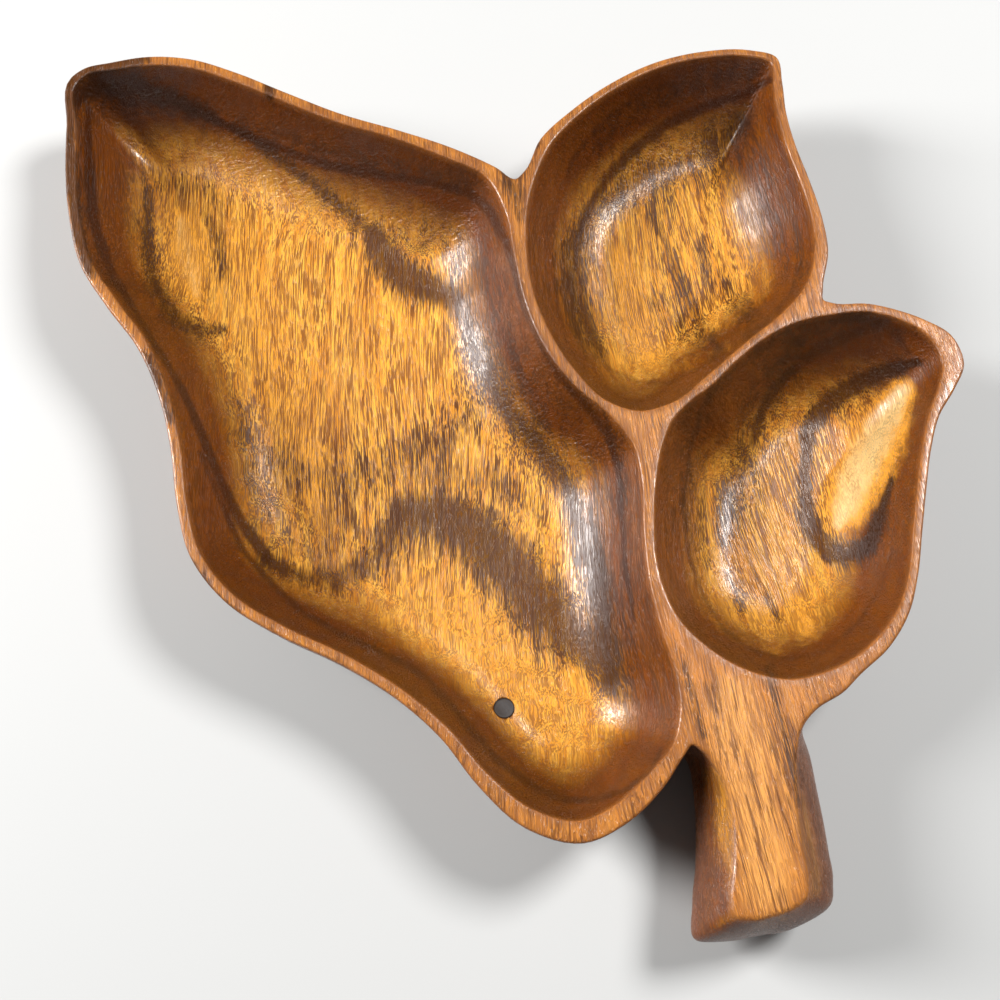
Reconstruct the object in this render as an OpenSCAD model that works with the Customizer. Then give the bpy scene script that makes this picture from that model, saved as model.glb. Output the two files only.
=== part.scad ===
// Divided serving tray carved from one slab of hardwood in the form of three leaves on a stem.
// One large leaf hollow lies on the left, two small ones on the right, and the stem is the handle.
// Lengths are millimetres. +Z is up, the stem points to -Y and the origin is under the middle.

/* [Tray] */
// Width across the leaves, left to right
tray_w = 378; // [300:1:480]
// Length from the top of the small leaf to the end of the stem
tray_l = 375; // [300:1:480]
// Height of the rim above the table
tray_h = 45; // [42:0.5:60]
// Width of the plain rim round a hollow
rim_w = 4; // [2.5:0.1:8]
// Radius of the eased edges of the rim
edge_r = 1.1; // [0.4:0.1:1.4]
// How far the flat foot lies in from the rim where there is room
foot_inset = 42; // [34:1:50]

/* [Large hollow] */
// Depth of the large hollow
large_depth = 35; // [20:0.5:38]
// Run of its wall from the rim to the flat floor where there is room
large_run = 50; // [36:1:60]

/* [Small hollows] */
// Depth of the two small hollows
small_depth = 34; // [20:0.5:38]
// Run of their walls from the rim to the flat floor where there is room
small_run = 48; // [36:1:56]

/* [Walls] */
// Bend of the hollows' walls: a higher one is steeper at the rim and flatter at the floor
wall_bend = 2.2; // [1.8:0.1:3]

/* [Handle] */
// How far the sides of the stem swell past its top face
stem_swell = 14; // [6:0.5:16]
// Height of the stem's underside above the table at its end
stem_lift = 8; // [3:0.5:14]
// Radius of the round edge between its top face and its sides
stem_edge_r = 2.6; // [1:0.1:3.5]

/* [Knot plug] */
// Diameter of the round plug
plug_d = 8.4; // [5:0.1:12]
// Depth of the plug's bore below the floor of the large hollow
plug_l = 6; // [3:0.5:8]
// Gap for glue all round the plug
glue_gap = 0.05; // [0.02:0.01:0.1]

/* [Fineness] */
// Steps between two points of an outline
curve_steps = 3; // [2:1:4]
// Rings down a wall
wall_rings = 6; // [5:1:9]

/* [Hidden] */
oiled_wood = [0.62, 0.36, 0.14];
knot_wood = [0.26, 0.22, 0.22];

// A point of a hollow's edge is [share of tray_w, share of tray_l, rim width there in rim_w].
// The points run counterclockwise, seen from above, and a smooth curve passes through them.
large_shares = [
    [-0.493, 0.458, 0.8], [-0.489, 0.400, 0.95], [-0.476, 0.285, 0.9], [-0.458, 0.226, 0.95],
    [-0.424, 0.175, 1], [-0.387, 0.125, 0.9], [-0.360, 0.067, 0.8], [-0.342, 0.005, 0.8],
    [-0.331, -0.057, 0.8], [-0.314, -0.112, 0.8], [-0.279, -0.156, 0.8], [-0.222, -0.192, 0.8],
    [-0.160, -0.221, 0.8], [-0.102, -0.256, 0.8], [-0.054, -0.296, 0.9], [-0.014, -0.341, 1.2],
    [0.030, -0.375, 1.6], [0.078, -0.386, 1.8], [0.115, -0.369, 1.7], [0.149, -0.337, 1.6],
    [0.171, -0.312, 1.2], [0.180, -0.280, 1], [0.178, -0.240, 1], [0.165, -0.193, 1],
    [0.154, -0.140, 1], [0.150, -0.085, 1], [0.150, -0.035, 1], [0.141, 0.010, 1],
    [0.118, 0.041, 1], [0.083, 0.073, 1], [0.050, 0.119, 1], [0.029, 0.172, 1],
    [0.017, 0.230, 1], [0.006, 0.289, 1], [-0.016, 0.333, 1.4], [-0.060, 0.357, 1.2],
    [-0.120, 0.383, 0.9], [-0.187, 0.405, 0.9], [-0.253, 0.434, 0.9], [-0.312, 0.461, 0.9],
    [-0.365, 0.479, 0.9], [-0.412, 0.482, 0.9], [-0.455, 0.475, 0.8], [-0.482, 0.469, 0.7]];
upper_shares = [
    [0.315, 0.486, 0.8], [0.290, 0.494, 0.65], [0.237, 0.492, 0.65], [0.184, 0.478, 0.65],
    [0.131, 0.449, 0.7], [0.086, 0.412, 0.8], [0.055, 0.375, 1.1], [0.037, 0.333, 1.2],
    [0.027, 0.289, 1], [0.026, 0.239, 1], [0.032, 0.191, 1], [0.049, 0.141, 1],
    [0.078, 0.091, 1], [0.112, 0.055, 1], [0.148, 0.043, 1], [0.184, 0.053, 1],
    [0.224, 0.085, 1], [0.269, 0.125, 1], [0.311, 0.161, 1], [0.339, 0.196, 1.6],
    [0.351, 0.239, 1.2], [0.350, 0.281, 0.9], [0.340, 0.328, 0.8], [0.328, 0.371, 0.8],
    [0.320, 0.415, 0.8], [0.317, 0.455, 0.9]];
lower_shares = [
    [0.478, 0.100, 2.1], [0.472, 0.125, 1.9], [0.455, 0.144, 1.1], [0.433, 0.156, 0.8],
    [0.401, 0.164, 0.8], [0.364, 0.161, 1.2], [0.327, 0.153, 1], [0.290, 0.135, 1],
    [0.255, 0.107, 1], [0.224, 0.076, 1], [0.200, 0.057, 1], [0.181, 0.036, 1],
    [0.168, 0.004, 1], [0.160, -0.039, 1], [0.157, -0.081, 1], [0.158, -0.120, 1],
    [0.166, -0.156, 1], [0.181, -0.187, 1], [0.204, -0.211, 1], [0.231, -0.230, 1],
    [0.260, -0.242, 1], [0.291, -0.247, 1], [0.321, -0.241, 1.2], [0.353, -0.227, 1.4],
    [0.383, -0.203, 1.2], [0.407, -0.172, 0.9], [0.421, -0.135, 0.7], [0.430, -0.087, 0.7],
    [0.439, -0.039, 0.7], [0.448, 0.004, 0.7], [0.459, 0.044, 0.9], [0.472, 0.076, 1.5]];

// Points along the middle of each hollow, towards which its walls run down.
large_middle_shares = [[-0.380, 0.372], [-0.332, 0.300], [-0.287, 0.220], [-0.245, 0.140],
    [-0.207, 0.060], [-0.165, -0.020], [-0.112, -0.100], [-0.054, -0.172], [0.012, -0.233],
    [0.055, -0.265], [-0.135, 0.230], [-0.110, 0.160]];
upper_middle_shares = [[0.208, 0.338], [0.196, 0.290], [0.186, 0.245], [0.178, 0.200]];
lower_middle_shares = [[0.330, 0.010], [0.317, -0.030], [0.305, -0.070], [0.295, -0.112]];

// A point between two leaves or on the stem is [share of tray_w, share of tray_l, swell to the right
// and swell away from the stem's end in stem_swell, how far it belongs to the stem, then its place
// on the foot in the same shares as the point].
stem_shares = [
    [0.188, -0.311, 0, 0, 0, 0.160, -0.262], [0.199, -0.317, -0.05, 0, 0.25, 0.180, -0.262],
    [0.209, -0.331, -0.25, 0, 0.6, 0.196, -0.268], [0.219, -0.350, -0.58, 0, 0.9, 0.202, -0.272],
    [0.224, -0.374, -0.72, 0, 1, 0.207, -0.276], [0.225, -0.402, -0.77, 0, 1, 0.212, -0.280],
    [0.223, -0.430, -0.77, 0, 1, 0.217, -0.283], [0.219, -0.456, -0.77, -0.14, 1, 0.222, -0.285],
    [0.221, -0.473, -0.84, -0.56, 1, 0.228, -0.287], [0.240, -0.477, -0.50, -0.54, 1, 0.236, -0.289],
    [0.260, -0.473, -0.14, -0.50, 1, 0.244, -0.289], [0.278, -0.467, 0.24, -0.50, 1, 0.252, -0.288],
    [0.292, -0.457, 0.84, -0.26, 1, 0.260, -0.286], [0.295, -0.436, 0.97, -0.12, 1, 0.267, -0.282],
    [0.292, -0.409, 0.99, -0.04, 1, 0.273, -0.278], [0.290, -0.381, 0.96, 0, 1, 0.279, -0.273],
    [0.290, -0.350, 0.84, 0, 1, 0.285, -0.267], [0.292, -0.319, 0.68, 0.04, 0.85, 0.291, -0.258],
    [0.299, -0.293, 0.34, 0.08, 0.5, 0.298, -0.246], [0.313, -0.276, 0.12, 0, 0.2, 0.304, -0.230],
    [0.343, -0.257, 0, 0, 0, 0.310, -0.205]];
right_notch_shares = [[0.354, 0.177, 0, 0, 0, 0.270, 0.100]];
top_notch_shares = [[0.017, 0.329, 0, 0, 0, 0.010, 0.230]];

// Place of the knot plug, low down in the large hollow.
plug_shares = [0.003, -0.261];

// The shift that brings the middle of the tray's box to the origin.
centring_shares = [0.0026, -0.0023];

// The nearest middle points count most, and a wall's run keeps under its own share of the way there.
nearness = 4;
reach_share = 1.1;
// How far down the stem its sides are widest, and what is left of the swell at its underside.
widest_share = 0.6;
under_share = 0.35;
// Turn of the round edge along the stem, which is a quarter turn along a leaf's rim.
stem_edge_turn = 50;
// Last turn of the outer wall above the foot.
foot_turn = 80;

large_floor = tray_h - large_depth;

// Loops of points, counted round without an end.
function at(loop, i) = loop[(i + len(loop)) % len(loop)];
function xy(p) = [p[0], p[1]];
function span(loop, i) = norm(xy(at(loop, i + 1)) - xy(at(loop, i)));
function unit(v) = v / norm(v);
function part_of(loop, a, b) = [for (i = [a : b]) at(loop, i)];

// Slope of the curve at a point, from the two spans beside it.
function slope(loop, i) =
    let (a = span(loop, i - 1), b = span(loop, i))
    ((at(loop, i) - at(loop, i - 1)) * b / a + (at(loop, i + 1) - at(loop, i)) * a / b) / (a + b);

// A cubic from p to q with end slopes m and n, at t from 0 to 1.
function cubic(p, q, m, n, t) =
    p * (1 + 2 * t) * pow(1 - t, 2) + m * t * pow(1 - t, 2)
    + q * pow(t, 2) * (3 - 2 * t) - n * pow(t, 2) * (1 - t);

// The smooth closed curve through the points of a loop, whatever each point holds beside its place.
function smooth(loop) = [
    for (i = [0 : len(loop) - 1])
        let (b = span(loop, i))
        for (k = [0 : curve_steps - 1])
            cubic(at(loop, i), at(loop, i + 1), slope(loop, i) * b, slope(loop, i + 1) * b,
                k / curve_steps)];

// Outward direction at a point of a counterclockwise loop.
function outward(loop, i) = let (s = slope(loop, i)) unit([s[1], -s[0]]);

// The point that lies a run in from p towards the middle points, or less where they are near.
// The shortest gaps weigh most, in the direction and in the distance.
function blended_gap(pulls) = pow(pulls * [for (w = pulls) 1], -1 / nearness);
function inward(p, middle, run) =
    let (pulls = [for (m = middle) pow(norm(m - p), -nearness)],
        way = pulls * [for (m = middle) m - p], near = reach_share * blended_gap(pulls))
    p + unit(way) * blended_gap([pow(run, -nearness), pow(near, -nearness)]);

function sized(shares) = [for (s = shares) [s[0] * tray_w, s[1] * tray_l]];

// A hollow's edge as points [x, y, rim].
function hollow_edge(shares) = [for (s = shares) [s[0] * tray_w, s[1] * tray_l, s[2] * rim_w]];
large_edge = hollow_edge(large_shares);
upper_edge = hollow_edge(upper_shares);
lower_edge = hollow_edge(lower_shares);
large_middle = sized(large_middle_shares);
upper_middle = sized(upper_middle_shares);
lower_middle = sized(lower_middle_shares);
all_middles = concat(large_middle, upper_middle, lower_middle);

// The outer edge of the rim round part of a hollow, in lengths and with what a stem's point holds.
function rim_edge(edge, a, b) = [
    for (i = [a : b])
        let (e = at(edge, i), p = xy(e) + outward(edge, i) * e[2],
            f = inward(p, all_middles, foot_inset))
        [p[0], p[1], 0, 0, 0, f[0], f[1]]];
function free_edge(shares) = [
    for (s = shares)
        [s[0] * tray_w, s[1] * tray_l, s[2] * stem_swell, s[3] * stem_swell, s[4],
            s[5] * tray_w, s[6] * tray_l]];
outer_edge = concat(
    rim_edge(large_edge, 0, 20), free_edge(stem_shares),
    rim_edge(lower_edge, 23, 37), free_edge(right_notch_shares),
    rim_edge(upper_edge, 19, 33), free_edge(top_notch_shares),
    rim_edge(large_edge, 34, 43));

// Rings of a hollow from its edge to its floor: an eased edge, then a wall that runs out level.
// A ring's step goes from -1 to 0 down the eased edge, and on from 0 to 1 down the wall.
function hollow_ring(curve, middle, run, depth, step) = [
    for (c = curve)
        let (f = inward(xy(c), middle, run), wall = norm(f - xy(c)) - edge_r,
            ease = -90 * min(step, 0), fall = max(step, 0),
            w = edge_r * cos(ease) + wall * fall,
            d = edge_r * (1 - sin(ease)) + (depth - edge_r) * (1 - pow(1 - fall, wall_bend)),
            p = xy(c) + unit(f - xy(c)) * w)
        [p[0], p[1], tray_h - d]];
steps = concat([-1, -0.5], [for (k = [0 : wall_rings]) k / wall_rings]);
function hollow_rings(edge, middle, run, depth) =
    let (curve = smooth(edge)) [for (s = steps) hollow_ring(curve, middle, run, depth, s)];

// Foot point of the outer edge: set in from a leaf's rim, and drawn back to the neck under the stem.
function foot_of(c) = inward(xy(c), all_middles, foot_inset) * (1 - c[4]) + [c[5], c[6]] * c[4];

// Rings of the outside from the top of the rim to the foot. A leaf's wall is a quarter of an ellipse,
// and the stem's sides swell out to their widest and come back a little underneath.
function outer_ring(curve, step) = [
    for (i = [0 : len(curve) - 1])
        let (c = curve[i], stem = c[4], u = max(step, 0), fall = foot_turn * u,
            radius = edge_r + (stem_edge_r - edge_r) * stem,
            turn = 90 - (90 - stem_edge_turn) * stem, ease = turn * (1 + min(step, 0)),
            swell = u < widest_share ? sin(90 * u / widest_share)
                : 1 - (1 - under_share) * pow((u - widest_share) / (1 - widest_share), 2),
            round_drop = radius * (1 - cos(ease)),
            leaf_drop = (tray_h - round_drop) * sin(fall),
            stem_drop = (tray_h - round_drop - stem_lift) * u,
            p = xy(c) + (foot_of(c) - xy(c)) * (1 - stem) * (1 - cos(fall))
                + [c[2], c[3]] * swell - outward(curve, i) * radius * (sin(turn) - sin(ease)))
        [p[0], p[1], tray_h - round_drop - (1 - stem) * leaf_drop - stem * stem_drop]];
function outer_rings(edge) =
    let (curve = smooth(edge))
    concat([for (s = steps) outer_ring(curve, s)],
        [[for (c = curve) let (f = foot_of(c)) [f[0], f[1], 0]]]);

// Twice the signed area of a triangle, and whether a point lies in it.
function twice_area(a, b, c) = (b[0] - a[0]) * (c[1] - a[1]) - (b[1] - a[1]) * (c[0] - a[0]);
function in_triangle(p, a, b, c) =
    twice_area(a, b, p) >= 0 && twice_area(b, c, p) >= 0 && twice_area(c, a, p) >= 0;
function same(a, b) = a[0] == b[0] && a[1] == b[1];
function is_ear(points, ring, i) =
    let (n = len(ring), a = points[ring[(i + n - 1) % n]], b = points[ring[i]],
        c = points[ring[(i + 1) % n]])
    twice_area(a, b, c) > 0
    && len([for (j = ring) let (p = points[j])
        if (!same(p, a) && !same(p, b) && !same(p, c) && in_triangle(p, a, b, c)) 1]) == 0;

// A flat counterclockwise outline split into triangles, by cutting off one corner after another.
function corners_cut(points, ring, i = 0, missed = 0, done = []) =
    len(ring) < 3 || missed > len(ring) ? done
    : let (n = len(ring), k = i % n)
    !is_ear(points, ring, k) ? corners_cut(points, ring, k + 1, missed + 1, done)
    : corners_cut(points, [for (j = [0 : n - 1]) if (j != k) ring[j]], k + 1, 0,
        concat(done, [[ring[(k + n - 1) % n], ring[k], ring[(k + 1) % n]]]));

// A ring joined to a hole's ring by a cut between their two nearest points.
function joined(points, ring, hole) =
    let (gaps = [for (a = [0 : len(ring) - 1]) for (b = [0 : len(hole) - 1])
            [norm(points[ring[a]] - points[hole[b]]), a, b]],
        best = min([for (g = gaps) g[0]]),
        cut = [for (g = gaps) if (g[0] == best) g][0])
    concat(part_of(ring, 0, cut[1]), part_of(hole, cut[2], cut[2] + len(hole)),
        part_of(ring, cut[1], len(ring) - 1));

function backwards(list) = [for (i = [len(list) - 1 : -1 : 0]) list[i]];
function count(start, n) = [for (i = [0 : n - 1]) start + i];
function flat_rings(rings) = [for (r = rings) for (p = r) p];

// Faces of a wall through rings of n points, the first of them numbered start.
function wall_faces(start, n, rings) = [
    for (r = [0 : rings - 2]) for (i = [0 : n - 1])
        let (a = start + r * n + i, b = start + r * n + (i + 1) % n, c = b + n, d = a + n)
        for (f = [[a, b, c], [a, c, d]]) f];
function turned(faces) = [for (f = faces) backwards(f)];

// The solid slab with its three hollows, before the bore is drilled.
module slab() {
    outside = outer_rings(outer_edge);
    large = hollow_rings(large_edge, large_middle, large_run, large_depth);
    upper = hollow_rings(upper_edge, upper_middle, small_run, small_depth);
    lower = hollow_rings(lower_edge, lower_middle, small_run, small_depth);
    points = concat(flat_rings(outside), flat_rings(large), flat_rings(upper), flat_rings(lower));
    counts = [len(outside[0]), len(large[0]), len(upper[0]), len(lower[0])];
    levels = [len(outside), len(large), len(upper), len(lower)];
    starts = [0, counts[0] * levels[0], counts[0] * levels[0] + counts[1] * levels[1],
        counts[0] * levels[0] + counts[1] * levels[1] + counts[2] * levels[2]];
    tops = [for (k = [0 : 3]) count(starts[k], counts[k])];
    ends = [for (k = [0 : 3]) count(starts[k] + counts[k] * (levels[k] - 1), counts[k])];
    land = joined(points, joined(points, joined(points, tops[0], backwards(tops[1])),
        backwards(tops[2])), backwards(tops[3]));
    faces = concat(
        wall_faces(starts[0], counts[0], levels[0]),
        corners_cut(points, ends[0]),
        turned(corners_cut(points, land)),
        [for (k = [1 : 3]) for (f = turned(wall_faces(starts[k], counts[k], levels[k]))) f],
        [for (k = [1 : 3]) for (f = turned(corners_cut(points, ends[k]))) f]);
    polyhedron(points, faces);
}

// An upright round bar through the slab where the plug lies, up to the level of the rim.
module bar(d) {
    translate([plug_shares[0] * tray_w, plug_shares[1] * tray_l, large_floor - plug_l])
        cylinder(d = d, h = plug_l + large_depth, $fn = 48);
}

module centred() {
    translate([centring_shares[0] * tray_w, centring_shares[1] * tray_l, 0])
        children();
}

module carved_tray() {
    color(oiled_wood)
        centred() difference() {
            slab();
            bar(plug_d + 2 * glue_gap);
        }
}

// The plug is cut off along the surface of the hollow, which rises here towards the rim.
module knot_plug() {
    color(knot_wood)
        centred() intersection() {
            slab();
            bar(plug_d);
        }
}

carved_tray();
knot_plug();
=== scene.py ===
"""A serving tray carved from one board: three leaf hollows on a stem, and a dark knot plug.

Lengths here are millimetres until a mesh is made, and then metres. +Z is up, the stem points to -Y.
"""
import math

import bmesh
import bpy
import numpy as np
from mathutils.geometry import delaunay_2d_cdt
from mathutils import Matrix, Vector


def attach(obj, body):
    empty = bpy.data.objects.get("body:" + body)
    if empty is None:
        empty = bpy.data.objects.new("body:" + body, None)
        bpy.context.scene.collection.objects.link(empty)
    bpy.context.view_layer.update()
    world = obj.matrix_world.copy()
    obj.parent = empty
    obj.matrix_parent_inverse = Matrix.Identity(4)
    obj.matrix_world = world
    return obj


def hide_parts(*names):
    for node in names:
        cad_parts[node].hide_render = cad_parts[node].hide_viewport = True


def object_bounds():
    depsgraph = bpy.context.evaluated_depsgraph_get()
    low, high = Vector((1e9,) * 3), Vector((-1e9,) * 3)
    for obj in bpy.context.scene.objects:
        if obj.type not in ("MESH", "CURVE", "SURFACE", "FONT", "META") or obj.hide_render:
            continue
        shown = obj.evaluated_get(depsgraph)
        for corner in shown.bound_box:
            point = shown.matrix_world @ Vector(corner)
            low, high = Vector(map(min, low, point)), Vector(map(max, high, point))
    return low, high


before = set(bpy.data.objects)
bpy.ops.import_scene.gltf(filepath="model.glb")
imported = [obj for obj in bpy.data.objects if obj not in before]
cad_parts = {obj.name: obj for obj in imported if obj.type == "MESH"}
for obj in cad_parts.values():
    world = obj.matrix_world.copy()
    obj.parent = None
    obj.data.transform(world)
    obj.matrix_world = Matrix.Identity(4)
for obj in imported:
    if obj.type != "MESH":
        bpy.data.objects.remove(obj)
cad_low, cad_high = [np.array(corner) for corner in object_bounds()]

# Sizes

TRAY_W, TRAY_L, TRAY_H = 378.0, 375.0, 45.0
RIM_W, EDGE_R, FOOT_INSET = 4.0, 1.1, 42.0
# A hollow's depth, and how far its wall runs in before the floor is level.
LARGE_DEPTH, LARGE_RUN = 35.0, 50.0
SMALL_DEPTH, SMALL_RUN = 34.0, 48.0
LARGE_FLOOR = TRAY_H - LARGE_DEPTH
# The power by which a wall falls, steep at its rim and level at its foot.
WALL_BEND = 2.2
# How the points along the middle of a hollow pull the foot of its wall.
REACH, NEARNESS = 1.1, 4.0
# The waves left by sanding: how deep, and below what depth and over what depth they grow.
WAVE_DEPTH, WAVE_START, WAVE_GROWTH = 0.30, 4, 14
STEM_SWELL, STEM_LIFT, STEM_EDGE_R = 14.0, 8.0, 2.6
STEM_EDGE_TURN = math.radians(50)
# Where down the stem's side it is widest, what is left of the swell below, and how far a leaf's wall
# turns in.
WIDEST, UNDER, FOOT_TURN = 0.6, 0.35, math.radians(80)
PLUG_D, PLUG_L, GLUE_GAP, PLUG_ROUND = 8.4, 6.0, 0.05, 0.12
# The depth below the rim that holds the edges of every hollow.
RIM_TOP = 8
# From the tables' origin to the middle of the tray's box.
CENTRING = np.array([0.0026 * TRAY_W, -0.0023 * TRAY_L])
PLUG_AT = np.array([0.003 * TRAY_W, -0.261 * TRAY_L]) + CENTRING

# An edge point is [share of the width, share of the length, rim width there in RIM_W].
LARGE_EDGE = [
    [-0.493, 0.458, 0.8], [-0.489, 0.400, 0.95], [-0.476, 0.285, 0.9], [-0.458, 0.226, 0.95],
    [-0.424, 0.175, 1], [-0.387, 0.125, 0.9], [-0.360, 0.067, 0.8], [-0.342, 0.005, 0.8],
    [-0.331, -0.057, 0.8], [-0.314, -0.112, 0.8], [-0.279, -0.156, 0.8], [-0.222, -0.192, 0.8],
    [-0.160, -0.221, 0.8], [-0.102, -0.256, 0.8], [-0.054, -0.296, 0.9], [-0.014, -0.341, 1.2],
    [0.030, -0.375, 1.6], [0.078, -0.386, 1.8], [0.115, -0.369, 1.7], [0.149, -0.337, 1.6],
    [0.171, -0.312, 1.2], [0.180, -0.280, 1], [0.178, -0.240, 1], [0.165, -0.193, 1],
    [0.154, -0.140, 1], [0.150, -0.085, 1], [0.150, -0.035, 1], [0.141, 0.010, 1],
    [0.118, 0.041, 1], [0.083, 0.073, 1], [0.050, 0.119, 1], [0.029, 0.172, 1],
    [0.017, 0.230, 1], [0.006, 0.289, 1], [-0.016, 0.333, 1.4], [-0.060, 0.357, 1.2],
    [-0.120, 0.383, 0.9], [-0.187, 0.405, 0.9], [-0.253, 0.434, 0.9], [-0.312, 0.461, 0.9],
    [-0.365, 0.479, 0.9], [-0.412, 0.482, 0.9], [-0.455, 0.475, 0.8], [-0.482, 0.469, 0.7]]
UPPER_EDGE = [
    [0.315, 0.486, 0.8], [0.290, 0.494, 0.65], [0.237, 0.492, 0.65], [0.184, 0.478, 0.65],
    [0.131, 0.449, 0.7], [0.086, 0.412, 0.8], [0.055, 0.375, 1.1], [0.037, 0.333, 1.2],
    [0.027, 0.289, 1], [0.026, 0.239, 1], [0.032, 0.191, 1], [0.049, 0.141, 1],
    [0.078, 0.091, 1], [0.112, 0.055, 1], [0.148, 0.043, 1], [0.184, 0.053, 1],
    [0.224, 0.085, 1], [0.269, 0.125, 1], [0.311, 0.161, 1], [0.339, 0.196, 1.6],
    [0.351, 0.239, 1.2], [0.350, 0.281, 0.9], [0.340, 0.328, 0.8], [0.328, 0.371, 0.8],
    [0.320, 0.415, 0.8], [0.317, 0.455, 0.9]]
LOWER_EDGE = [
    [0.478, 0.100, 2.1], [0.472, 0.125, 1.9], [0.455, 0.144, 1.1], [0.433, 0.156, 0.8],
    [0.401, 0.164, 0.8], [0.364, 0.161, 1.2], [0.327, 0.153, 1], [0.290, 0.135, 1],
    [0.255, 0.107, 1], [0.224, 0.076, 1], [0.200, 0.057, 1], [0.181, 0.036, 1],
    [0.168, 0.004, 1], [0.160, -0.039, 1], [0.157, -0.081, 1], [0.158, -0.120, 1],
    [0.166, -0.156, 1], [0.181, -0.187, 1], [0.204, -0.211, 1], [0.231, -0.230, 1],
    [0.260, -0.242, 1], [0.291, -0.247, 1], [0.321, -0.241, 1.2], [0.353, -0.227, 1.4],
    [0.383, -0.203, 1.2], [0.407, -0.172, 0.9], [0.421, -0.135, 0.7], [0.430, -0.087, 0.7],
    [0.439, -0.039, 0.7], [0.448, 0.004, 0.7], [0.459, 0.044, 0.9], [0.472, 0.076, 1.5]]
LARGE_MIDDLE = [[-0.380, 0.372], [-0.332, 0.300], [-0.287, 0.220], [-0.245, 0.140],
    [-0.207, 0.060], [-0.165, -0.020], [-0.112, -0.100], [-0.054, -0.172], [0.012, -0.233],
    [0.055, -0.265], [-0.135, 0.230], [-0.110, 0.160]]
UPPER_MIDDLE = [[0.208, 0.338], [0.196, 0.290], [0.186, 0.245], [0.178, 0.200]]
LOWER_MIDDLE = [[0.330, 0.010], [0.317, -0.030], [0.305, -0.070], [0.295, -0.112]]
# A point of the stem or of a notch is [x, y, swell to +X, swell to +Y, how far it belongs to the stem,
# foot x, foot y].
STEM_EDGE = [
    [0.188, -0.311, 0, 0, 0, 0.160, -0.262], [0.199, -0.317, -0.05, 0, 0.25, 0.180, -0.262],
    [0.209, -0.331, -0.25, 0, 0.6, 0.196, -0.268], [0.219, -0.350, -0.58, 0, 0.9, 0.202, -0.272],
    [0.224, -0.374, -0.72, 0, 1, 0.207, -0.276], [0.225, -0.402, -0.77, 0, 1, 0.212, -0.280],
    [0.223, -0.430, -0.77, 0, 1, 0.217, -0.283], [0.219, -0.456, -0.77, -0.14, 1, 0.222, -0.285],
    [0.221, -0.473, -0.84, -0.56, 1, 0.228, -0.287], [0.240, -0.477, -0.50, -0.54, 1, 0.236, -0.289],
    [0.260, -0.473, -0.14, -0.50, 1, 0.244, -0.289], [0.278, -0.467, 0.24, -0.50, 1, 0.252, -0.288],
    [0.292, -0.457, 0.84, -0.26, 1, 0.260, -0.286], [0.295, -0.436, 0.97, -0.12, 1, 0.267, -0.282],
    [0.292, -0.409, 0.99, -0.04, 1, 0.273, -0.278], [0.290, -0.381, 0.96, 0, 1, 0.279, -0.273],
    [0.290, -0.350, 0.84, 0, 1, 0.285, -0.267], [0.292, -0.319, 0.68, 0.04, 0.85, 0.291, -0.258],
    [0.299, -0.293, 0.34, 0.08, 0.5, 0.298, -0.246], [0.313, -0.276, 0.12, 0, 0.2, 0.304, -0.230],
    [0.343, -0.257, 0, 0, 0, 0.310, -0.205]]
RIGHT_NOTCH = [[0.354, 0.177, 0, 0, 0, 0.270, 0.100]]
TOP_NOTCH = [[0.017, 0.329, 0, 0, 0, 0.010, 0.230]]

# How finely the curves and the walls are cut, and the flat patches in millimetres.
SPAN_STEPS = 9
OUTER_SPAN_STEPS = 6
EDGE_STEPS = 5
WALL_STEPS = 40
OUTER_STEPS = 20
FLAT_GRID = 2.0


# Curves and walls

def lengths(vectors):
    """The length of each vector, the root of the sum of its squares."""
    return np.sqrt((vectors ** 2).sum(-1))


def unit(vectors):
    """Each vector divided by its length."""
    return vectors / lengths(vectors)[..., None]


def slopes(loop):
    """The curve's slope at each point: its two spans' slopes, the shorter span counting more."""
    ahead = np.roll(loop, -1, 0) - loop
    b = lengths(ahead[:, :2])[:, None]
    behind, a = np.roll(ahead, 1, 0), np.roll(b, 1, 0)
    return (behind * b / a + ahead * a / b) / (a + b)


def smooth(loop, steps=SPAN_STEPS):
    """The closed curve through a loop's points: one cubic a span, with the slopes of both ends."""
    after = np.roll(loop, -1, 0)
    b = lengths((after - loop)[:, :2])[:, None]
    m, n = slopes(loop) * b, np.roll(slopes(loop), -1, 0) * b
    t = (np.arange(steps) / steps)[None, :, None]
    p, q, m, n = loop[:, None], after[:, None], m[:, None], n[:, None]
    curve = (p * (1 + 2 * t) * (1 - t) ** 2 + m * t * (1 - t) ** 2
             + q * t ** 2 * (3 - 2 * t) - n * t ** 2 * (1 - t))
    return curve.reshape(-1, loop.shape[1])


def outward(curve):
    """The direction at a right angle to a counterclockwise curve, away from its inside."""
    s = slopes(curve)
    return unit(np.stack([s[:, 1], -s[:, 0]], 1))


def inward(points, middle, run):
    """Each point moved a run towards the middle points. A middle point pulls by its distance to the
    power -NEARNESS, and the run is blended by that power with REACH of the blended distance."""
    way = middle[None] - points[:, None]
    pull = lengths(way) ** -NEARNESS
    near = REACH * pull.sum(1) ** (-1 / NEARNESS)
    step = (run ** -NEARNESS + near ** -NEARNESS) ** (-1 / NEARNESS)
    return points + unit((way * pull[..., None]).sum(1)) * step[:, None]


def sized(shares):
    """A table of shares of the tray's width and length as a table in millimetres."""
    table = np.array(shares, float)
    table[:, 0] *= TRAY_W
    table[:, 1] *= TRAY_L
    return table


def hollow_edge(shares):
    """A hollow's edge, with the rim's width beside each point."""
    table = sized(shares)
    table[:, 2] *= RIM_W
    return table


def hand_waves(x, y):
    """The slight unevenness of a surface sanded by hand: a few crossing sine waves, 0 to 1."""
    return 0.5 + 0.17 * (np.sin(x / 6.1 + 1.3 * np.sin(y / 15))
                         + np.sin(y / 9.3 + 0.7 + 1.1 * np.sin(x / 12))
                         + np.sin((x + 1.6 * y) / 13.7 + 2.1))


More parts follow.
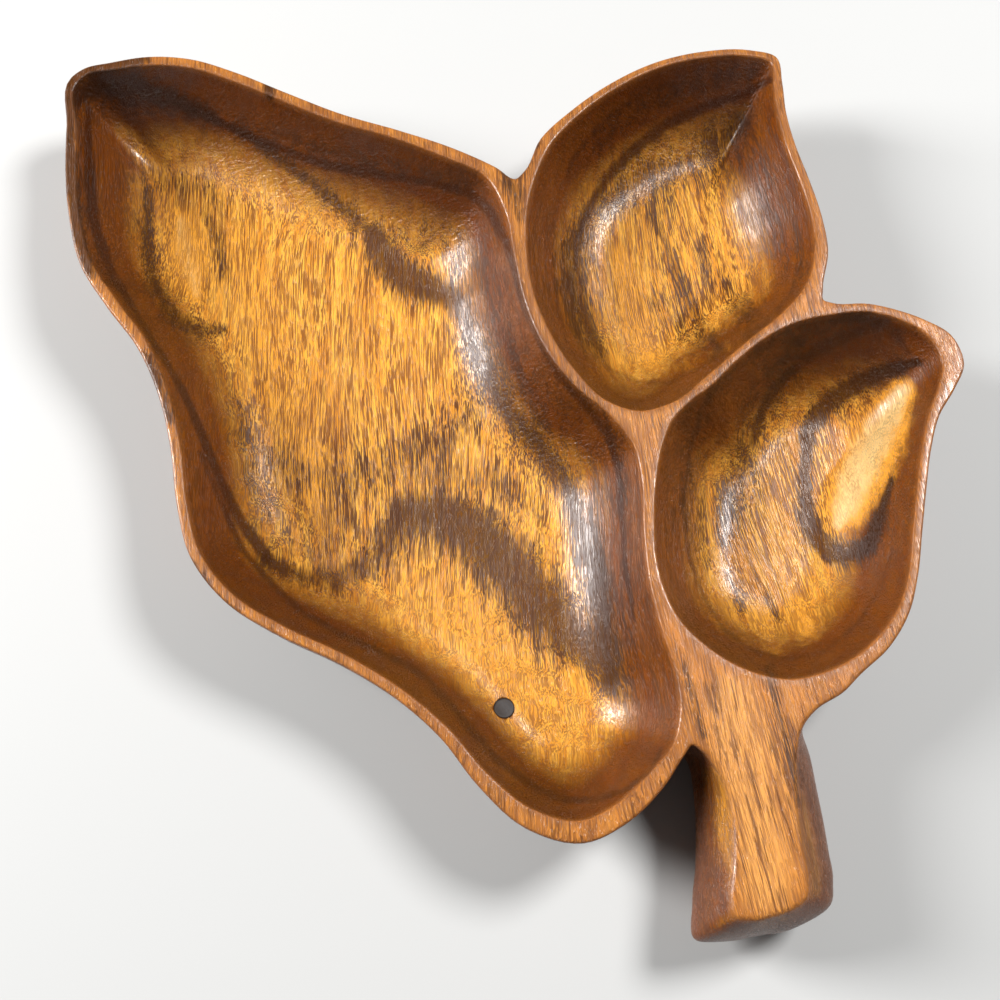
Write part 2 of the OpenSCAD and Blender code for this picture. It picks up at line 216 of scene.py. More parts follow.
def hollow_rings(edge, middle, run, depth):
    """A hollow's rings: a quarter circle of EDGE_R over the edge, then w = wall s and
    d = depth (1 - (1 - s) ** WALL_BEND) for s from 0 to 1, pressed in a little by the waves."""
    curve = smooth(edge)
    foot = inward(curve[:, :2], middle, run)
    way, wall = unit(foot - curve[:, :2]), lengths(foot - curve[:, :2]) - EDGE_R
    ease = np.linspace(1, 0, EDGE_STEPS + 1)[:, None] * math.pi / 2
    fall = (np.arange(1, WALL_STEPS + 1) / WALL_STEPS)[:, None]
    w = np.concatenate([EDGE_R * np.cos(ease) + 0 * wall, EDGE_R + wall * fall])
    d = np.concatenate([EDGE_R * (1 - np.sin(ease)) + 0 * wall,
                        EDGE_R + (depth - EDGE_R) * (1 - (1 - fall) ** WALL_BEND) + 0 * wall])
    xy = curve[None, :, :2] + way[None] * w[..., None]
    rings = np.concatenate([xy, TRAY_H - d[..., None]], 2)
    rings[..., 2] += wave_press(rings)
    return rings


def wave_press(points):
    """How far the waves press a hollow's surface in, growing with the depth below the rim."""
    below = np.clip((TRAY_H - WAVE_START - points[..., 2]) / WAVE_GROWTH, 0, 1)
    return -WAVE_DEPTH * below * hand_waves(points[..., 0], points[..., 1])


def rim_edge(edge, first, last):
    """The outer edge of the rim beside part of a hollow, with the columns that a stem's point has."""
    part = np.arange(first, last + 1) % len(edge)
    p = edge[part, :2] + outward(edge)[part] * edge[part, 2:3]
    return np.concatenate([p, np.zeros((len(p), 3)), inward(p, ALL_MIDDLES, FOOT_INSET)], 1)


def free_edge(shares):
    """Part of the outer edge that follows no hollow: the stem or a notch between leaves."""
    table = sized(shares)
    table[:, 2:4] *= STEM_SWELL
    table[:, 5] *= TRAY_W
    table[:, 6] *= TRAY_L
    return table


def outer_rings(edge):
    """The outside's rings, from the land down. The round edge turns through a right angle on a leaf and
    STEM_EDGE_TURN on the stem. Below it a leaf's wall is a quarter of an ellipse towards the foot, and
    the stem's side swells by a sine to its widest and comes back by a square."""
    curve = smooth(edge, OUTER_SPAN_STEPS)
    stem = curve[:, 4]
    foot = (inward(curve[:, :2], ALL_MIDDLES, FOOT_INSET) * (1 - stem)[:, None]
            + curve[:, 5:7] * stem[:, None])
    radius = EDGE_R + (STEM_EDGE_R - EDGE_R) * stem
    turn = math.pi / 2 - (math.pi / 2 - STEM_EDGE_TURN) * stem
    ease = turn * np.concatenate([np.linspace(0, 1, EDGE_STEPS + 1), np.ones(OUTER_STEPS)])[:, None]
    u = np.concatenate([np.zeros(EDGE_STEPS + 1), np.arange(1, OUTER_STEPS + 1) / OUTER_STEPS])[:, None]
    fall = FOOT_TURN * u
    swell = np.where(u < WIDEST, np.sin(math.pi / 2 * u / WIDEST),
                     1 - (1 - UNDER) * ((u - WIDEST) / (1 - WIDEST)) ** 2)
    drop = radius * (1 - np.cos(ease))
    xy = (curve[None, :, :2]
          + (foot - curve[:, :2])[None] * ((1 - stem) * (1 - np.cos(fall)))[..., None]
          + curve[None, :, 2:4] * swell[..., None]
          - outward(curve)[None] * (radius * (np.sin(turn) - np.sin(ease)))[..., None])
    z = (TRAY_H - drop - (1 - stem) * (TRAY_H - drop) * np.sin(fall)
         - stem * (TRAY_H - drop - STEM_LIFT) * u)
    rings = np.concatenate([xy, z[..., None]], 2)
    last = rings[-1]
    base = np.concatenate([foot, np.zeros((len(foot), 1))], 1)
    step = (np.arange(1, 5) / 4)[:, None, None]
    return np.concatenate([rings, last[None] * (1 - step) + base[None] * step])


# Meshes

def ring_faces(start, rings, n, up):
    """Quads of a wall of rings of n points each, facing the hollow when up is true."""
    r, i = np.meshgrid(np.arange(rings - 1), np.arange(n), indexing="ij")
    a = start + r * n + i
    b = start + r * n + (i + 1) % n
    quads = np.stack([a, b, b + n, a + n], -1).reshape(-1, 4)
    return quads if up else quads[:, ::-1]


def inside(points, loop):
    """Whether points lie in a closed outline, by counting the sides that a ray to +X crosses."""
    a, b = loop, np.roll(loop, -1, 0)
    x, y = points[:, 0:1], points[:, 1:2]
    spans = (a[:, 1] > y) != (b[:, 1] > y)
    rise = np.where(b[:, 1] == a[:, 1], 1e-12, b[:, 1] - a[:, 1])
    cross = a[:, 0] + (y - a[:, 1]) * (b[:, 0] - a[:, 0]) / rise
    return (spans & (x < cross)).sum(1) % 2 == 1


def flat_patch(outline, holes, height, up=True):
    """A patch inside an outline and outside its holes: a net of points FLAT_GRID apart, joined into
    triangles, at the height that the height function gives for its points."""
    loops = [outline] + holes
    low, high = outline.min(0), outline.max(0)
    gx, gy = np.meshgrid(np.arange(low[0], high[0], FLAT_GRID),
                         np.arange(low[1], high[1], FLAT_GRID))
    gx = gx + FLAT_GRID / 2 * (np.arange(len(gx)) % 2)[:, None]
    net = np.stack([gx.ravel(), gy.ravel()], 1)
    border = np.concatenate(loops)
    keep = inside(net, outline)
    for hole in holes:
        keep &= ~inside(net, hole)
    net = net[keep]
    gap = np.concatenate([lengths(part[:, None] - border[None]).min(1)
                          for part in np.array_split(net, 40)])
    net = net[gap > FLAT_GRID * 0.6]
    edges, start = [], 0
    for loop in loops:
        ends = start + np.arange(len(loop))
        edges += np.stack([ends, np.roll(ends, -1)], 1).tolist()
        start += len(loop)
    points = np.concatenate([border, net])
    found, _, faces, _, _, _ = delaunay_2d_cdt(points.tolist(), edges, [], 0, 1e-7)
    found, faces = np.array(found), np.array(faces)
    centre = found[faces].mean(1)
    good = inside(centre, outline)
    for hole in holes:
        good &= ~inside(centre, hole)
    faces = faces[good]
    p = found[faces]
    area = ((p[:, 1, 0] - p[:, 0, 0]) * (p[:, 2, 1] - p[:, 0, 1])
            - (p[:, 2, 0] - p[:, 0, 0]) * (p[:, 1, 1] - p[:, 0, 1]))
    wrong = (area > 0) != up
    faces[wrong] = faces[wrong][:, ::-1]
    return np.concatenate([found, height(found)[:, None]], 1), faces


def make_object(name, points, faces):
    """A mesh object from points in millimetres, with equal points joined and smooth shading."""
    mesh = bpy.data.meshes.new(name)
    mesh.from_pydata((points / 1000).tolist(), [], faces)
    work = bmesh.new()
    work.from_mesh(mesh)
    bmesh.ops.remove_doubles(work, verts=work.verts, dist=2e-6)
    bmesh.ops.recalc_face_normals(work, faces=work.faces)
    work.to_mesh(mesh)
    work.free()
    mesh.polygons.foreach_set("use_smooth", np.ones(len(mesh.polygons), bool))
    thing = bpy.data.objects.new(name, mesh)
    bpy.context.scene.collection.objects.link(thing)
    return thing


large_edge, upper_edge, lower_edge = [hollow_edge(e) for e in (LARGE_EDGE, UPPER_EDGE, LOWER_EDGE)]
large_middle, upper_middle, lower_middle = [
    sized(m) for m in (LARGE_MIDDLE, UPPER_MIDDLE, LOWER_MIDDLE)]
ALL_MIDDLES = np.concatenate([large_middle, upper_middle, lower_middle])
# Counterclockwise: the rims follow edge points from first to last, and the free parts join them.
outer_edge = np.concatenate([
    rim_edge(large_edge, 0, 20), free_edge(STEM_EDGE), rim_edge(lower_edge, 23, 37),
    free_edge(RIGHT_NOTCH), rim_edge(upper_edge, 19, 33), free_edge(TOP_NOTCH),
    rim_edge(large_edge, 34, 43)])


def carve_tray():
    """The whole slab: outside, three hollows, land, floors and foot, as one closed mesh."""
    outside = outer_rings(outer_edge)
    hollows = [hollow_rings(large_edge, large_middle, LARGE_RUN, LARGE_DEPTH),
               hollow_rings(upper_edge, upper_middle, SMALL_RUN, SMALL_DEPTH),
               hollow_rings(lower_edge, lower_middle, SMALL_RUN, SMALL_DEPTH)]
    points, faces, count = [], [], 0
    for rings, up in [(outside, False)] + [(h, True) for h in hollows]:
        points.append(rings.reshape(-1, 3))
        faces += ring_faces(count, rings.shape[0], rings.shape[1], up).tolist()
        count += rings.shape[0] * rings.shape[1]
    land = (outside[0, :, :2], [h[0, :, :2] for h in hollows], lambda p: np.full(len(p), TRAY_H), True)
    foot = (outside[-1, :, :2], [], lambda p: np.zeros(len(p)), False)
    flats = [land, foot]
    for h, depth in zip(hollows, (LARGE_DEPTH, SMALL_DEPTH, SMALL_DEPTH)):
        def floor_height(p, level=TRAY_H - depth):
            return level - WAVE_DEPTH * hand_waves(p[:, 0], p[:, 1])
        flats.append((h[-1, :, :2], [], floor_height, True))
    for outline, holes, height, up in flats:
        found, tris = flat_patch(outline, holes, height, up)
        points.append(found)
        faces += (tris + count).tolist()
        count += len(found)
    points = np.concatenate(points)
    points[:, :2] += CENTRING
    # Cut this finely, the same curves pass the CAD model's box by up to 0.25 at the stem's end and by
    # 0.03 on a leaf's side. The ten points that do are brought back to the box.
    points = np.clip(points, cad_low * 1000, cad_high * 1000)
    return points, faces


points, faces = carve_tray()
tray = make_object("tray_body", points, faces)


def surface_fit(points, at, reach):
    """The quadratic surface through the hollow's points near a place, by least squares. Points below
    half the floor's height belong to the foot, and are left out."""
    near = points[(lengths(points[:, :2] - at) < reach) & (points[:, 2] > LARGE_FLOOR / 2)]
    x, y = near[:, 0] - at[0], near[:, 1] - at[1]
    terms = np.stack([np.ones_like(x), x, y, x * x, x * y, y * y], 1)
    k = np.linalg.lstsq(terms, near[:, 2], rcond=None)[0]
    return lambda px, py: (k[0] + k[1] * px + k[2] * py
                           + k[3] * px ** 2 + k[4] * px * py + k[5] * py ** 2)


plug_top = surface_fit(points, PLUG_AT, PLUG_D)


def round_bar(radius, low, top, rings=7, sides=64, round_over=0.0):
    """An upright bar at the plug's place: circles that widen over its top surface, which falls by
    round_over at the edge, and circles that narrow over its flat lower end."""
    angle = np.arange(sides) * 2 * math.pi / sides
    share = np.linspace(1, 0, rings + 1)[:-1]
    x, y = [radius * share[:, None] * turn for turn in (np.cos(angle), np.sin(angle))]
    fall = round_over * np.clip((share - 0.8) / 0.2, 0, 1)[:, None] ** 3
    upper = np.stack([PLUG_AT[0] + x, PLUG_AT[1] + y, top(x, y) - fall], 2)[::-1]
    lower = np.stack([PLUG_AT[0] + x, PLUG_AT[1] + y, np.full_like(x, low)], 2)
    loops = np.concatenate([upper, lower])
    ends = [[*PLUG_AT, float(top(0.0, 0.0))], [*PLUG_AT, low]]
    points = np.concatenate([loops.reshape(-1, 3), ends])
    faces = ring_faces(0, len(loops), sides, False).tolist()
    last = len(points) - 2
    ring = np.arange(sides)
    faces += np.stack([np.full(sides, last), ring, (ring + 1) % sides], 1).tolist()
    end = (len(loops) - 1) * sides
    faces += np.stack([np.full(sides, last + 1), end + (ring + 1) % sides, end + ring], 1).tolist()
    return points, faces


def drill(body):
    """The plug's bore cut out of the tray, and the cut written into its mesh."""
    cutter = make_object("bore_cutter", *round_bar(
        PLUG_D / 2 + GLUE_GAP, LARGE_FLOOR - PLUG_L, lambda x, y: 0 * x + TRAY_H - RIM_TOP, rings=2))
    step = body.modifiers.new("bore", "BOOLEAN")
    step.operation, step.solver, step.object = "DIFFERENCE", "EXACT", cutter
    bpy.context.view_layer.update()
    cut = bpy.data.meshes.new_from_object(body.evaluated_get(bpy.context.evaluated_depsgraph_get()))
    body.modifiers.clear()
    old, body.data = body.data, cut
    cut.name = "tray_body"
    bpy.data.meshes.remove(old)
    bpy.data.objects.remove(cutter)


drill(tray)
plug = make_object("plug_body", *round_bar(
    PLUG_D / 2, LARGE_FLOOR - PLUG_L, plug_top, round_over=PLUG_ROUND))

# Figure of the wood

# The place from which the figure was read: it looks down, tilted off the plumb line, through a lens
# whose focal length is given in steps of a frame FRAME wide.
EYE = np.array([0.48, -173.36, TRAY_H + 490])
TILT = math.radians(17.2)
FOCAL, FRAME = 1300.0, 1000


def frame_place(points):
    """Where points show in a square frame FRAME wide, looked at from EYE: across, and down."""
    p = points - EYE
    depth = -(p[:, 2] * math.cos(TILT)) + p[:, 1] * math.sin(TILT)
    up = p[:, 1] * math.cos(TILT) + p[:, 2] * math.sin(TILT)
    return np.stack([FRAME / 2 + FOCAL * p[:, 0] / depth, FRAME / 2 - FOCAL * up / depth], 1)


# Strokes of the figure: a strength, then rows of across, down and half width in that frame.
# Dark heartwood, in bands across the floors and along the walls, and some strokes of painted shade on
# walls.
HEARTWOOD_AND_SHADE = [
    (1.1, [[80, 94, 13], [104, 88, 15], [138, 88, 13], [172, 98, 9], [210, 116, 7]]),
    (0.9, [[210, 116, 5], [249, 138, 6], [288, 164, 7], [321, 190, 7], [350, 213, 8], [374, 238, 11]]),
    (1.25, [[372, 234, 10], [388, 262, 17], [410, 280, 18], [436, 290, 15], [456, 302, 13]]),
    (1.0, [[456, 302, 14], [472, 340, 14], [488, 378, 13], [508, 412, 14], [532, 440, 14], [552, 466, 13],
           [574, 502, 13], [590, 545, 15]]),
    (1.1, [[585, 535, 12], [598, 580, 16], [602, 620, 18], [606, 655, 16], [610, 690, 8]]),
    (0.95, [[268, 560, 7], [300, 576, 9], [335, 580, 13], [366, 566, 18], [390, 540, 24], [408, 515, 24]]),
    (1.25, [[408, 515, 22], [436, 514, 24], [470, 532, 28], [504, 562, 30], [536, 598, 30], [566, 630, 26],
            [594, 654, 20]]),
    (0.62, [[400, 474, 18], [440, 478, 24], [500, 480, 26], [532, 506, 18]]),
    (0.56, [[350, 232, 16], [396, 240, 24], [440, 250, 26], [474, 290, 28], [498, 350, 30], [524, 410, 32],
            [556, 470, 32], [584, 540, 36], [604, 610, 36], [614, 680, 22]]),
    (0.48, [[262, 530, 18], [310, 548, 24], [360, 530, 36], [410, 505, 44], [470, 520, 46], [530, 570, 44],
            [580, 630, 34]]),
    (0.66, [[262, 450, 12], [300, 474, 22], [350, 482, 28], [400, 462, 30], [450, 440, 28],
           [480, 400, 24]]),
    (0.62, [[236, 396, 9], [246, 440, 14], [258, 490, 14], [276, 530, 12]]),
    (0.50, [[150, 178, 18], [200, 184, 14], [232, 214, 12]]),
    (0.95, [[150, 190, 7], [146, 230, 8], [152, 276, 8], [168, 312, 9], [196, 330, 9], [222, 330, 7]]),
    (0.75, [[205, 214, 6], [220, 244, 6], [224, 276, 6]]),
    (0.9, [[503, 168, 6], [508, 180, 8], [516, 196, 8], [520, 218, 5]]),
    (0.95, [[588, 214, 11], [576, 250, 14], [573, 285, 16], [583, 322, 14], [600, 352, 7]]),
    (0.8, [[650, 214, 4], [664, 240, 6], [676, 270, 7], [688, 298, 8], [704, 330, 8], [722, 350, 5]]),
    (0.8, [[606, 206, 16], [650, 180, 26], [700, 156, 28], [745, 124, 18]]),
    # Painted shade, not heartwood: the next four strokes darken the walls on the +Y side of the three
    # hollows, which face away from the lamps, and the +Y part of the large hollow's left wall.
    (0.55, [[130, 106, 10], [220, 122, 10], [300, 144, 11], [380, 164, 12], [470, 184, 12]]),
    (0.5, [[82, 130, 7], [86, 200, 8], [98, 262, 8], [128, 312, 6]]),
    (0.6, [[596, 150, 9], [630, 112, 12], [690, 84, 12], [752, 72, 8]]),
    (0.6, [[712, 388, 8], [752, 348, 11], [800, 326, 11], [860, 316, 9], [910, 330, 7]]),
    (0.55, [[572, 380, 7], [600, 412, 9], [618, 452, 9], [628, 500, 6]]),
    (0.50, [[744, 150, 16], [760, 200, 22], [784, 240, 20], [796, 270, 12]]),
    (0.62, [[700, 250, 16], [730, 290, 16], [748, 320, 14]]),
    (0.62, [[656, 300, 12], [686, 330, 16], [716, 346, 12]]),
    (0.55, [[652, 210, 10], [668, 250, 14], [686, 296, 17], [704, 336, 14]]),
    (1.35, [[918, 362, 4], [896, 368, 6], [874, 376, 8], [854, 386, 9], [834, 398, 10], [818, 414, 9],
            [808, 432, 7], [805, 462, 6], [805, 488, 6], [807, 512, 8]]),
    (1.25, [[806, 512, 8], [816, 540, 11], [832, 552, 11], [850, 554, 10], [866, 546, 9], [878, 526, 7],
            [884, 500, 4], [892, 480, 3]]),
    (0.80, [[796, 345, 13], [774, 381, 15], [757, 422, 16], [745, 460, 18], [732, 500, 18],
           [724, 540, 10]]),
    (0.45, [[700, 400, 16], [690, 450, 20], [692, 510, 20], [706, 560, 16]]),
    (0.7, [[728, 572, 5], [736, 592, 8], [742, 612, 4]]),
    (0.7, [[748, 560, 3], [768, 600, 4], [778, 618, 3]]),
    (1.5, [[266, 82, 3.4], [268, 90, 4.2], [269, 97, 3.2]]),
    (0.7, [[269, 97, 4], [270, 106, 3]]),
    (1.3, [[72, 76, 9], [68, 100, 8], [69, 140, 6], [72, 190, 7], [78, 236, 6], [92, 276, 4]]),
    (1.0, [[146, 352, 4], [160, 384, 6], [170, 420, 5]]),
    (0.9, [[193, 560, 4], [212, 596, 6], [240, 618, 4]]),
    (1.0, [[512, 176, 7], [524, 160, 8], [536, 140, 5]]),
    (1.3, [[74, 78, 9], [96, 68, 9], [124, 62, 7], [150, 60, 3]]),
    (0.66, [[770, 668, 5], [777, 700, 7], [785, 735, 7], [793, 770, 5], [797, 806, 3]]),
    (0.75, [[684, 664, 4], [694, 700, 5], [704, 735, 4]]),
    (0.55, [[716, 705, 3], [719, 735, 4], [724, 760, 3]])]
# Pale wood: the oval near the large leaf's tip, bands on the floors, the stem, and the patch in the lower
# hollow, which is pale wood with a painted sheen.
PALE_AND_SHEEN = [
    (1.5, [[181, 222, 15], [185, 246, 22], [191, 272, 21], [197, 294, 10]]),
    (0.95, [[232, 240, 18], [262, 300, 28], [286, 380, 32], [304, 450, 28], [318, 500, 18]]),
    (0.65, [[372, 300, 20], [386, 360, 26], [400, 420, 18]]),
    (1.1, [[730, 700, 26], [745, 760, 36], [758, 840, 38], [766, 888, 32]]),
    (0.9, [[408, 572, 16], [440, 590, 26], [480, 628, 32], [512, 668, 30], [540, 706, 24]]),
    (1.2, [[548, 494, 6], [556, 530, 9], [568, 572, 8]]),
    (1.2, [[620, 252, 9], [628, 290, 14], [638, 325, 16], [650, 356, 13]]),
    (0.8, [[677, 222, 5], [686, 252, 7], [700, 292, 8], [716, 322, 7]]),
    (0.6, [[752, 250, 6], [766, 272, 9], [764, 292, 7]]),
    (0.45, [[650, 372, 12], [690, 366, 10], [730, 344, 9]]),
    # Painted sheen: the bright glow on the lower hollow's floor, over pale wood.
    (2.0, [[902, 392, 12], [888, 416, 20], [872, 444, 26], [856, 476, 27], [846, 506, 20], [838, 524, 9]]),
    (0.9, [[778, 450, 8], [776, 490, 14], [784, 540, 16], [796, 590, 20], [806, 625, 18]]),
    (0.6, [[742, 590, 12], [756, 620, 16], [776, 648, 12]])]
# Dark lines that run round the walls.
LINES = [
    (1.0, [[89, 108, 4], [88, 140, 5], [89, 171, 6], [94, 223, 6.5], [110, 269, 5], [135, 311, 3.6],
           [154, 344, 3.6], [171, 370, 3.8], [186, 398, 4.4], [200, 430, 5], [219, 478, 5.5], [241, 522, 6],
           [268, 558, 7]]),
    (0.8, [[200, 452, 3.2], [219, 498, 3.6], [243, 551, 4], [274, 586, 4.2], [304, 614, 4.2],
           [340, 634, 4.2],
           [372, 648, 4.2], [404, 664, 4.4], [427, 679, 4.6], [450, 705, 5], [475, 735, 5.4],
           [500, 762, 5.4],
           [525, 782, 5], [562, 799, 4.6], [595, 800, 4], [625, 790, 3.4], [650, 772, 3], [662, 748, 2.6]]),
    (0.95, [[122, 102, 4], [171, 105, 5], [210, 118, 5], [245, 134, 5], [275, 146, 5], [301, 157, 5],
            [330, 166, 5.4], [362, 171, 5.4], [400, 178, 5], [436, 184, 5], [470, 193, 5.4], [490, 212, 6],
            [506, 242, 5], [520, 290, 4.4], [534, 330, 4.4], [558, 372, 5], [584, 404, 5.4],
           [606, 430, 4.6],
            [618, 470, 3.8], [622, 520, 3.4], [626, 570, 3], [634, 620, 3]]),
    (0.6, [[560, 190, 3], [572, 160, 4], [590, 138, 4.4], [612, 116, 4.4], [640, 96, 4], [676, 82, 3]]),
    (0.9, [[578, 236, 3], [590, 206, 5], [610, 174, 6.4], [634, 150, 7], [668, 123, 7], [706, 107, 6.4],
           [746, 92, 5], [770, 80, 4]]),
    (0.5, [[664, 186, 4], [680, 162, 6], [706, 142, 6], [742, 134, 4]]),
    (0.55, [[566, 320, 3], [586, 350, 3.4], [610, 370, 4], [640, 382, 4], [668, 383, 4], [700, 368, 4],
            [730, 348, 4], [764, 324, 4], [790, 296, 3.4], [800, 262, 3]]),
    (0.8, [[884, 322, 5], [858, 332, 7], [832, 342, 8], [805, 359, 7], [780, 381, 6], [762, 411, 5.4],
           [752, 444, 4.4]]),
    (0.7, [[846, 316, 8], [872, 318, 9], [896, 334, 7], [908, 352, 4]]),
    (0.6, [[716, 384, 4], [700, 412, 4.6], [690, 455, 4.6], [685, 500, 4.4], [688, 548, 4], [700, 590, 3.6],
           [722, 628, 3.4], [752, 650, 3.4], [790, 660, 3.4], [826, 650, 3.4], [858, 624, 3.4],
           [880, 590, 3],
           [892, 550, 3]])]
# Zones where the fibres dive into the board, so that the carved surface cuts them to dots.
DIVES = [
    (1.0, [[280, 560, 26], [330, 602, 40], [400, 640, 56], [470, 664, 64], [540, 694, 66], [580, 740, 60]]),
    (1.0, [[165, 300, 14], [190, 380, 22], [215, 450, 28], [250, 520, 32], [300, 570, 34]]),
    (0.8, [[470, 520, 22], [530, 560, 26], [580, 620, 22]]),
    (1.0, [[180, 130, 14], [260, 168, 20], [340, 214, 18], [420, 232, 24]]),
    (1.0, [[592, 330, 18], [636, 372, 24], [700, 352, 24], [760, 300, 20]]),
    (1.0, [[600, 200, 20], [660, 156, 26], [730, 126, 20]]),
    (1.0, [[702, 570, 22], [742, 626, 26], [800, 634, 26], [860, 590, 24]]),
    (1.0, [[722, 470, 26], [748, 408, 28], [812, 376, 24]])]


def stroked(places, strokes, sharpness):
    """The strongest of the strokes at each place: a strength, fading by a logistic curve at its width."""
    best = np.zeros(len(places))
    for strength, rows in strokes:
        s = np.array(rows, float)
        for a, b in zip(s[:-1], s[1:]):
            way = b[:2] - a[:2]
            t = np.clip(((places - a[:2]) @ way) / (way @ way), 0, 1)
            gap = lengths(places - a[:2] - t[:, None] * way)
            width = a[2] + t * (b[2] - a[2])
            fade = 1 + np.exp(np.clip((gap / width - 1) * sharpness, -30, 30))
            best = np.maximum(best, strength / fade)
    return best


def paint(body, name, values):
    """One number for each vertex, which a material reads by its name."""
    layer = body.data.attributes.new(name, "FLOAT", "POINT")
    layer.data.foreach_set("value", values.astype(np.float32))


def vertex_rows(body, key):
    """The places or normals of a mesh's vertices, as rows of three."""
    flat = np.zeros(len(body.data.vertices) * 3)
    body.data.vertices.foreach_get(key, flat)
    return flat.reshape(-1, 3)


def edge_gap(points):
    """The distance from each point to the nearest edge of the rim, measured in space."""
    rims = [smooth(e)[:, :2] for e in (large_edge, upper_edge, lower_edge, outer_edge)]
    rim = np.concatenate(rims) + CENTRING
    near = np.full(len(points), 1e9)
    high = points[:, 2] > TRAY_H - RIM_TOP
    gaps = []
    for part in np.array_split(points[high], 40):
        level = ((part[:, None, :2] - rim[None]) ** 2).sum(-1).min(1)
        gaps.append(np.sqrt(level + (TRAY_H - part[:, 2]) ** 2))
    near[high] = np.concatenate(gaps)
    return near


# How far the darker edge band spreads from an edge, and the swirl from the plug.
EDGE_SPREAD, SWIRL_SPREAD = 1.5, 11.0
# The land begins this far below the rim's height, and is full this much further up.
LAND_START, LAND_RISE = 1.6, 1.4
# A wall begins where its normal rises less than this, and is full where it rises this much less still.
WALL_START, WALL_RANGE = 0.90, 0.26
spots, facing = vertex_rows(tray, "co") * 1000, vertex_rows(tray, "normal")
places = frame_place(spots)
# Only surfaces that face up carry the strokes: the land, the hollows and the tops of the sides.
open_up = np.clip(facing[:, 2] / 0.2, 0, 1)
for name, strokes, sharpness in (("heartwood_and_shade", HEARTWOOD_AND_SHADE, 2.1), ("pale", PALE_AND_SHEEN, 3.0),
                                 ("wall_lines", LINES, 3.6), ("dive", DIVES, 3.0)):
    paint(tray, name, stroked(places, strokes, sharpness) * open_up)
paint(tray, "edge_band", np.exp(-(edge_gap(spots) / EDGE_SPREAD) ** 2))
# The walls that face along the grain show the ends of its fibres, which take up more oil. Their darker
# colour also paints the shade on the walls that face away from the lamps.
mouths = [smooth(edge)[:, :2] for edge in (large_edge, upper_edge, lower_edge)]
in_hollow = np.concatenate([np.any([inside(part, mouth) for mouth in mouths], 0)
                            for part in np.array_split(spots[:, :2] - CENTRING, 60)])
paint(tray, "end_grain_and_shade", np.clip(1.5 * np.abs(facing[:, 1]) - 0.35, 0, 1) * in_hollow)
paint(tray, "land", np.clip((spots[:, 2] - (TRAY_H - LAND_START)) / LAND_RISE, 0, 1))
paint(tray, "steep", np.clip((WALL_START - facing[:, 2]) / WALL_RANGE, 0, 1))
paint(tray, "swirl", np.exp(-(lengths(spots[:, :2] - PLUG_AT) / SWIRL_SPREAD) ** 2))


# Wood

def srgb(r, g, b):
    """A colour given in the 0 to 255 steps of a screen, as a linear colour."""
    c = np.array([r, g, b]) / 255
    return (*np.where(c <= 0.04045, c / 12.92, ((c + 0.055) / 1.055) ** 2.4), 1)


GOLD, BRIGHT_GOLD, LATE_WOOD = srgb(230, 150, 50), srgb(252, 182, 72), srgb(146, 82, 24)
SHADED_WALL, WALL_ENDS_AND_SHADE = srgb(110, 48, 0), srgb(70, 24, 0)
LAND, LAND_STRIPE, LAND_SCORE = srgb(200, 124, 58), srgb(140, 92, 54), srgb(92, 56, 32)
PALE_FLOOR, PALE_LAND, CREAM_AND_SHEEN = srgb(252, 172, 60), srgb(240, 166, 86), srgb(255, 216, 146)
DARK_WALL_LINE = srgb(60, 23, 2)
HEART_FLOOR, HEART_SHADE_AND_RIM = srgb(78, 40, 10), srgb(38, 15, 3)
PORE, PORE_PALE = srgb(124, 66, 16), srgb(172, 104, 34)
PORE_HEART, PORE_IN_WALL_SHADE = srgb(64, 31, 7), srgb(56, 24, 2)
FIBRE, EDGE_BROWN = srgb(110, 62, 16), srgb(142, 86, 44)
KNOT, KNOT_FLECK, KNOT_RING = srgb(36, 26, 21), srgb(56, 42, 34), srgb(27, 20, 16)
FLOOR_GREY = (0.60, 0.60, 0.59, 1)


